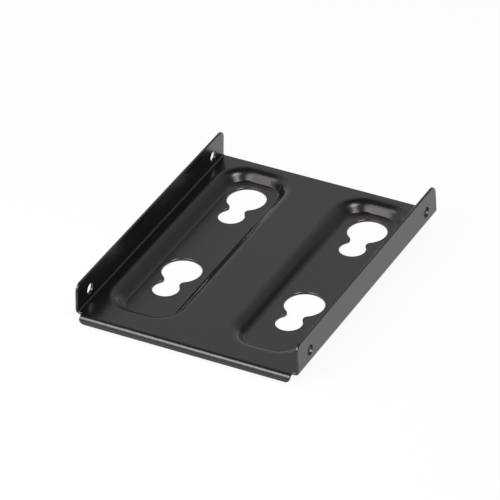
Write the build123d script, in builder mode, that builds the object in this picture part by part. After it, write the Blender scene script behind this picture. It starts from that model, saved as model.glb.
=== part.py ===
"""Drive bay adapter bracket: a folded sheet-steel tray that carries one 2.5 inch drive.

The bracket is a single blank of sheet steel. Its two sides are folded up into flanges that the
drive is screwed between, its front edge is folded down into a stiffening lip, and two long
pockets are pressed into its base. Each pocket has two keyholes that hook over headed posts in
the computer case, so that the post heads stay clear of the drive.

Frame: X across the bracket, Y from the lip to the far edge, Z up. The origin lies under the
middle of the bracket, on the plane that the pockets stand on. Sizes are in millimetres.
"""

import math
import os

from build123d import *

# Drive that the bracket carries, to the 2.5 inch standard
drive_width = 69.85
screw_spacing = 76.6

# Sheet
sheet = 0.8
edge_break = 0.15

# Side flanges, leaning in over the drive, which clears their tops, with heights from the base's top face
drive_clearance = 0.175
flange_height = 9.2
flange_lean = 2.5
flange_bend_radius = 0.5
flange_corner_radius = 2.5

# Screw holes in the flanges, one pair on each side
screw_hole_diameter = 3.4
screw_height = 3.5
screw_front_gap = 7.5
screw_rear_gap = 6.95

# Pressed pockets, measured at the square corners that their folds round off
pocket_side_gap = 4.76
pocket_front_gap = 7.46
pocket_rear_gap = 3.66
pocket_depth = 3.1
pocket_corner_radius = 8.0
pocket_wall_slope = 50.0

# Folds of the pockets, with radii on the hollow side of the sheet
rim_bend_radius = 3.0
floor_bend_radius = 1.4

# Keyholes, two in each pocket, with strips of flat floor beside them and behind the rear one
head_hole_diameter = 12.1
shank_hole_diameter = 8.1
keyhole_overlap = 0.1
keyhole_cusp_radius = 1.6
keyhole_pitch = 41.4
keyhole_outer_land = 1.2
keyhole_inner_land = 2.05
keyhole_rear_land = 1.5

# Front lip, with a strip of flat base between the flanges' front and its fold
lip_end_gap = 1.3
lip_land = 0.3
lip_drop = 2.6
lip_bend_radius = 0.9
lip_corner_radius = 1.6
lip_root_radius = 0.25

# Widths and lengths that follow from the sizes above
lean_slope = math.tan(math.radians(flange_lean))
bay_width = drive_width + 2 * (drive_clearance + flange_height * lean_slope)
outer_width = bay_width + 2 * sheet * (lean_slope + 1 / math.cos(math.radians(flange_lean)))
lip_width = bay_width - 2 * lip_end_gap
lip_reach = lip_land + lip_bend_radius + sheet
flange_length = screw_front_gap + screw_spacing + screw_rear_gap
pocket_length = flange_length - pocket_front_gap - pocket_rear_gap
pocket_draft = 90.0 - pocket_wall_slope
half_fold = math.tan(math.radians(pocket_wall_slope / 2))
pocket_growth = sheet * half_fold
floor_inset = pocket_depth * math.tan(math.radians(pocket_draft)) + floor_bend_radius * half_fold
floor_width = keyhole_outer_land + head_hole_diameter + keyhole_inner_land
pocket_width = floor_width + 2 * floor_inset
pocket_pitch = bay_width - 2 * pocket_side_gap - pocket_width
keyhole_spacing = pocket_pitch + keyhole_inner_land - keyhole_outer_land
keyhole_travel = (head_hole_diameter + shank_hole_diameter) / 2 - keyhole_overlap

# Levels, from the plane that the pockets stand on
base_underside = pocket_depth
base_top = base_underside + sheet
floor_top = base_top - pocket_depth
lip_edge = base_top - lip_drop

# Places from front to back, with the lip and the flanges centred together
flange_middle = lip_reach / 2
flange_front = flange_middle - flange_length / 2
lip_face = flange_front - lip_reach
screw_middle = flange_front + screw_front_gap + screw_spacing / 2
pocket_middle = flange_front + pocket_front_gap + pocket_length / 2
floor_rear = pocket_middle + pocket_length / 2 - floor_inset
keyhole_middle = floor_rear - keyhole_rear_land - head_hole_diameter / 2 - keyhole_pitch / 2


def draw_pockets(growth=0.0):
    """Draw both pockets' outlines, grown all round for the outside of the sheet."""
    with Locations((-pocket_pitch / 2, pocket_middle), (pocket_pitch / 2, pocket_middle)):
        RectangleRounded(
            pocket_width + 2 * growth,
            pocket_length + 2 * growth,
            pocket_corner_radius + growth,
        )


def pocket_floors(bracket):
    """The flat floors that the last pressing step made."""
    return bracket.faces(Select.LAST).filter_by(Axis.Z).group_by(Axis.Z)[0]


def pocket_rims(bracket, height):
    """The edges where the pockets leave the base's face at a height."""
    level_faces = bracket.faces().filter_by(Axis.Z)
    base_face = level_faces.sort_by(lambda face: abs(face.center().Z - height))[0]
    return base_face.inner_wires().edges()


def square_edges(bracket, smooth_cosine=0.5):
    """The edges of the cut sheet, where two faces meet squarely instead of running on."""
    faces_at = {}
    for face in bracket.faces():
        for edge in face.edges():
            faces_at.setdefault(edge, []).append(face)
    found = []
    for edge, faces in faces_at.items():
        normals = [face.normal_at(edge.position_at(0.5)) for face in faces]
        if len(normals) == 2 and normals[0].dot(normals[1]) < smooth_cosine:
            found.append(edge)
    return found


# Keyhole outline: a post's head passes the large circle, its shank locks in the small one
with BuildSketch() as keyhole:
    Circle(head_hole_diameter / 2)
    with Locations((0, -keyhole_travel)):
        Circle(shank_hole_diameter / 2)
    cusps = keyhole.vertices().sort_by(lambda vertex: abs(vertex.X))[:2]
    fillet(cusps, keyhole_cusp_radius)

with BuildPart() as drive_bracket:
    # Front lip, folded down, with the lower corners of its face rounded
    with BuildSketch(Plane.YZ) as lip_section:
        with BuildLine():
            Polyline(
                (flange_front, base_top),
                (lip_face, base_top),
                (lip_face, lip_edge),
                (lip_face + sheet, lip_edge),
                (lip_face + sheet, base_underside),
                (flange_front, base_underside),
                close=True,
            )
        make_face()
        fold_outside = lip_section.vertices().sort_by_distance((lip_face, base_top))[0]
        fillet(fold_outside, lip_bend_radius + sheet)
        fold_inside = lip_section.vertices().sort_by_distance((lip_face + sheet, base_underside))[0]
        fillet(fold_inside, lip_bend_radius)
    extrude(amount=lip_width / 2, both=True)
    with BuildSketch(Plane.XZ.offset(-lip_face)) as lip_front:
        with Locations((0, lip_edge)):
            Rectangle(lip_width, lip_drop, align=(Align.CENTER, Align.MIN))
        fillet(lip_front.vertices().group_by(Axis.Y)[0], lip_corner_radius)
    extrude(amount=-lip_reach, mode=Mode.INTERSECT)

    # Base and side flanges, as one folded channel behind the lip
    with BuildSketch(Plane.XZ.offset(-flange_middle)) as channel_section:
        with Locations((0, base_underside)):
            Trapezoid(
                outer_width,
                sheet + flange_height,
                90.0 - flange_lean,
                align=(Align.CENTER, Align.MIN),
            )
        with Locations((0, base_top)):
            Trapezoid(
                bay_width,
                flange_height,
                90.0 - flange_lean,
                align=(Align.CENTER, Align.MIN),
                mode=Mode.SUBTRACT,
            )
        fillet(channel_section.vertices().group_by(Axis.Y)[1], flange_bend_radius)
        fillet(channel_section.vertices().group_by(Axis.Y)[0], flange_bend_radius + sheet)
    extrude(amount=flange_length / 2, both=True)
    flange_corners = drive_bracket.edges().filter_by(Axis.X).group_by(Axis.Z)[-1]
    fillet(flange_corners, flange_corner_radius)
    upright_edges = drive_bracket.edges().filter_by(Axis.Z)
    lip_ends = (-lip_width / 2, lip_width / 2)
    lip_roots = [upright_edges.sort_by_distance((x, flange_front, base_top))[0] for x in lip_ends]
    fillet(lip_roots, lip_root_radius)

    # Outside of the pockets, pressed down below the base, with its floor and rim folds
    with BuildSketch(Plane.XY.offset(base_underside)):
        draw_pockets(pocket_growth)
    extrude(amount=-pocket_depth, taper=pocket_draft)
    fillet(pocket_floors(drive_bracket).edges(), floor_bend_radius + sheet)
    fillet(pocket_rims(drive_bracket, base_underside), rim_bend_radius)

    # Inside of the pockets, one sheet thickness above the outside
    with BuildSketch(Plane.XY.offset(base_top)):
        draw_pockets()
    extrude(amount=-pocket_depth, taper=pocket_draft, mode=Mode.SUBTRACT)
    fillet(pocket_floors(drive_bracket).edges(), floor_bend_radius)
    fillet(pocket_rims(drive_bracket, base_top), rim_bend_radius + sheet)

    # Keyholes through the pocket floors
    with BuildSketch(Plane.XY.offset(floor_top)):
        with Locations((0, keyhole_middle)):
            with GridLocations(keyhole_spacing, keyhole_pitch, 2, 2):
                add(keyhole.sketch)
    extrude(amount=-sheet, mode=Mode.SUBTRACT)

    # Cut edges, broken before the paint, all but the keyholes' lower ones
    chamfer([edge for edge in square_edges(drive_bracket) if edge.center().Z > floor_top / 2], edge_break)

    # Screw holes through both flanges
    with BuildSketch(Plane.YZ):
        with Locations((screw_middle, base_top + screw_height)):
            with Locations((-screw_spacing / 2, 0), (screw_spacing / 2, 0)):
                Circle(screw_hole_diameter / 2)
    extrude(amount=outer_width / 2, both=True, mode=Mode.SUBTRACT)

drive_bracket.part.label = "drive_bracket"
os.makedirs("parts", exist_ok=True)
export_step(drive_bracket.part, "parts/drive_bracket.step")
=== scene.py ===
"""Drive bay adapter bracket: its powder coat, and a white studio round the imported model."""

import math

import bmesh
import bpy
from mathutils import Matrix, Vector


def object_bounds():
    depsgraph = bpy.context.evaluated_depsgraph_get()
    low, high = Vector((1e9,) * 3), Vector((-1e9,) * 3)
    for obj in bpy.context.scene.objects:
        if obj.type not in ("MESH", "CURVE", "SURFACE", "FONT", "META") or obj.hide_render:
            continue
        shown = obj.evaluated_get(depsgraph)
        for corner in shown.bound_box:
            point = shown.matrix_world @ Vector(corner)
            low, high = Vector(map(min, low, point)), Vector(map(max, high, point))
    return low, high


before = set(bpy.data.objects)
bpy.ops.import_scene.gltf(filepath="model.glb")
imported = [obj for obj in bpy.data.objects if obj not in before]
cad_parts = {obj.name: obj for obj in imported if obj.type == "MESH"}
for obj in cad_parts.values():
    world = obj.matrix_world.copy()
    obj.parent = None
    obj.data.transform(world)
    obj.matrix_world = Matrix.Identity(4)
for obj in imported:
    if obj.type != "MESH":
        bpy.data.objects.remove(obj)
cad_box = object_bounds()

MM = 0.001

# Camera, fitted to the photograph
camera_compass = 28.515
camera_elevation = 34.736
camera_roll = -1.952
camera_distance = 1269.3 * MM
camera_aim = Vector((-4.727, 4.516, 3.9)) * MM
camera_lens = 309.81

# Floor
floor_radius = 3.0
floor_sides = 96
floor_gap = 0.05 * MM
floor_white = "#f6f6f6"
floor_share_shown_white = 0.92

# Room, whose walls are white at the foot and dim towards one side and overhead
dim_wall_compass = 70.0
bright_wall = 0.76
dim_wall = 0.14
ceiling_share = 0.2
skirting_elevation = 3.0
wall_foot_elevation = 9.0
wall_top_elevation = 50.0
ceiling_elevation = 64.0

# Points that the lamps face: one under the bracket's middle, one left of the lip and level with its fold
bracket_middle = Vector((0, 0, 0))
left_of_lip = Vector((-60 * MM, cad_box[0][1], 3 * MM))


def linear(hex_colour):
    """Turn an sRGB hex colour into linear RGBA."""
    channels = [int(hex_colour[i : i + 2], 16) / 255 for i in (1, 3, 5)]
    return [c / 12.92 if c <= 0.04045 else ((c + 0.055) / 1.055) ** 2.4 for c in channels] + [1.0]


def add(tree, kind, inputs=None, **settings):
    """Add a node, apply its settings, and fill its inputs with values or with other nodes' outputs."""
    node = tree.nodes.new("ShaderNode" + kind)
    for name, value in settings.items():
        setattr(node, name, value)
    for name, value in (inputs or {}).items():
        if isinstance(value, bpy.types.NodeSocket):
            tree.links.new(value, node.inputs[name])
        else:
            node.inputs[name].default_value = value
    return node


def empty_tree(owner):
    """Switch a material or world to nodes and clear them."""
    owner.use_nodes = True
    owner.node_tree.nodes.clear()
    return owner.node_tree


def towards(compass, elevation):
    """Direction by compass, in degrees from the lip's side towards +X, and by elevation."""
    compass = math.radians(compass)
    elevation = math.radians(elevation)
    level = math.cos(elevation)
    return Vector((math.sin(compass) * level, -math.cos(compass) * level, math.sin(elevation)))


def black_powder_coat():
    """Satin black polyester powder, sprayed on the folded steel and baked.

    The eye gets a near-black body under a soft grey image of the pale room, slightly uneven
    because the melted powder flows out with a shallow orange peel and a fine grain.
    """
    orange_peel_mm = 1.6
    orange_peel_height_mm = 0.02
    # The real grain is nearer 0.1 mm, and is drawn coarser so that it shows
    grain_mm = 0.4
    grain_height_mm = 0.006
    shade_mm = 9.0
    smoothest = 0.23
    roughest = 0.27
    material = bpy.data.materials.new("black_powder_coat")
    tree = empty_tree(material)
    place = add(tree, "TexCoord").outputs["Object"]
    shade = add(tree, "TexNoise", {"Vector": place, "Scale": 1 / (shade_mm * MM), "Detail": 3.0})
    peel = add(tree, "TexNoise", {"Vector": place, "Scale": 1 / (orange_peel_mm * MM), "Detail": 1.0})
    grain = add(tree, "TexNoise", {"Vector": place, "Scale": 1 / (grain_mm * MM), "Detail": 2.0})
    body = add(
        tree,
        "Mix",
        {"Factor": shade.outputs["Fac"], "A": linear("#070503"), "B": linear("#0a0806")},
        data_type="RGBA",
    )
    satin = add(
        tree,
        "MapRange",
        {
            "Value": grain.outputs["Fac"],
            "From Min": 0.3,
            "From Max": 0.7,
            "To Min": smoothest,
            "To Max": roughest,
        },
    )
    waves = add(
        tree,
        "Bump",
        {"Height": peel.outputs["Fac"], "Strength": 1.0, "Distance": orange_peel_height_mm * MM},
    )
    relief = add(
        tree,
        "Bump",
        {
            "Height": grain.outputs["Fac"],
            "Strength": 1.0,
            "Distance": grain_height_mm * MM,
            "Normal": waves.outputs["Normal"],
        },
    )
    coat = add(
        tree,
        "BsdfPrincipled",
        {
            "Base Color": body.outputs["Result"],
            "Roughness": satin.outputs["Result"],
            "IOR": 1.65,
            "Specular Tint": linear("#fff5ff"),
            "Normal": relief.outputs["Normal"],
        },
    )
    add(tree, "OutputMaterial", {"Surface": coat.outputs["BSDF"]})
    return material


def white_floor():
    """Matt white sweep that the bracket lies on, wide enough to have no edge in view.

    Eyes and reflections see it mostly as plain white, so that the bracket's shadow stays faint.
    """
    mesh = bpy.data.meshes.new("floor")
    shape = bmesh.new()
    bmesh.ops.create_circle(shape, cap_ends=True, segments=floor_sides, radius=floor_radius)
    bmesh.ops.translate(shape, verts=shape.verts, vec=(0, 0, -floor_gap))
    shape.to_mesh(mesh)
    shape.free()
    floor = bpy.data.objects.new("floor", mesh)
    bpy.context.scene.collection.objects.link(floor)
    material = bpy.data.materials.new("matt_white_sweep")
    tree = empty_tree(material)
    lit = add(tree, "BsdfDiffuse", {"Color": linear(floor_white)})
    white = add(tree, "Emission", {"Color": linear("#ffffff"), "Strength": 1.0})
    path = add(tree, "LightPath").outputs
    seen = add(tree, "Math", {0: path["Is Camera Ray"], 1: path["Is Glossy Ray"]}, operation="MAXIMUM")
    shown = add(tree, "Math", {0: seen.outputs[0], 1: path["Is Transmission Ray"]}, operation="MAXIMUM")
    share = add(tree, "Math", {0: shown.outputs[0], 1: floor_share_shown_white}, operation="MULTIPLY")
    surface = add(
        tree,
        "MixShader",
        {0: share.outputs[0], 1: lit.outputs["BSDF"], 2: white.outputs["Emission"]},
    )
    add(tree, "OutputMaterial", {"Surface": surface.outputs["Shader"]})
    mesh.materials.append(material)


def pale_room():
    """Pale room: white along the foot of its walls, brightest behind the bracket, dark overhead."""
    world = bpy.data.worlds.new("pale_room")
    bpy.context.scene.world = world
    tree = empty_tree(world)
    direction = add(tree, "TexCoord").outputs["Generated"]
    height = add(tree, "SeparateXYZ", {"Vector": direction}).outputs["Z"]
    turned = add(
        tree,
        "VectorMath",
        {0: direction, 1: towards(dim_wall_compass, 0)},
        operation="DOT_PRODUCT",
    )
    wall = add(
        tree,
        "MapRange",
        {
            "Value": turned.outputs["Value"],
            "From Min": -1.0,
            "From Max": 1.0,
            "To Min": bright_wall,
            "To Max": dim_wall,
        },
    )
    fade = add(
        tree,
        "MapRange",
        {
            "Value": height,
            "From Min": math.sin(math.radians(wall_top_elevation)),
            "From Max": math.sin(math.radians(ceiling_elevation)),
            "To Min": 1.0,
            "To Max": ceiling_share,
        },
        interpolation_type="SMOOTHSTEP",
    )
    upper = add(tree, "Math", {0: wall.outputs["Result"], 1: fade.outputs["Result"]}, operation="MULTIPLY")
    shade = add(
        tree,
        "MapRange",
        {
            "Value": height,
            "From Min": math.sin(math.radians(skirting_elevation)),
            "From Max": math.sin(math.radians(wall_foot_elevation)),
            "To Min": 1.0,
            "To Max": upper.outputs["Value"],
        },
    )
    room = add(tree, "Background", {"Color": linear("#ffffff"), "Strength": shade.outputs["Result"]})
    add(tree, "OutputWorld", {"Surface": room.outputs["Background"]})


def softbox(name, facing, compass, elevation, distance, width, height, radiance):
    """Add a flat lamp that faces a point.

    Compass, elevation and distance, in metres, place it from that point. Radiance is how bright
    its face looks, where 1 is white.
    """
    lamp = bpy.data.lights.new(name, "AREA")
    lamp.shape = "RECTANGLE"
    lamp.size = width
    lamp.size_y = height
    lamp.energy = radiance * math.pi * width * height
    stand = bpy.data.objects.new(name, lamp)
    stand.visible_camera = False
    bpy.context.scene.collection.objects.link(stand)
    aim = towards(compass, elevation)
    stand.location = facing + aim * distance
    stand.rotation_euler = aim.to_track_quat("Z", "Y").to_euler()


def studio_lamps():
    """Two softboxes for the pockets' far walls and corners, and a strip light for the lip's fold."""
    softbox(
        "left_softbox",
        facing=bracket_middle,
        compass=-29,
        elevation=49.5,
        distance=1.2,
        width=1.12,
        height=0.36,
        radiance=2.4,
    )
    softbox(
        "lip_strip_light",
        facing=left_of_lip,
        compass=0,
        elevation=43,
        distance=0.16,
        width=0.14,
        height=0.09,
        radiance=5.8,
    )
    softbox(
        "right_softbox",
        facing=bracket_middle,
        compass=72,
        elevation=54,
        distance=1.2,
        width=0.44,
        height=0.46,
        radiance=8.0,
    )


def photograph_camera():
    """Camera at the photograph's viewing angle."""
    back = towards(camera_compass, camera_elevation)
    right = towards(camera_compass + 90, 0)
    up = back.cross(right)
    roll = math.radians(camera_roll)
    tilted_right = right * math.cos(roll) + up * math.sin(roll)
    tilted_up = up * math.cos(roll) - right * math.sin(roll)
    data = bpy.data.cameras.new("camera")
    data.lens = camera_lens
    camera = bpy.data.objects.new("camera", data)
    bpy.context.scene.collection.objects.link(camera)
    turn = Matrix((tilted_right, tilted_up, back)).transposed().to_4x4()
    camera.matrix_world = Matrix.Translation(camera_aim + back * camera_distance) @ turn
    bpy.context.scene.camera = camera


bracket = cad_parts["drive_bracket"]
coat = black_powder_coat()
for slot in bracket.material_slots:
    slot.material = coat

white_floor()
pale_room()
studio_lamps()
photograph_camera()

bpy.context.scene.view_settings.view_transform = "Standard"
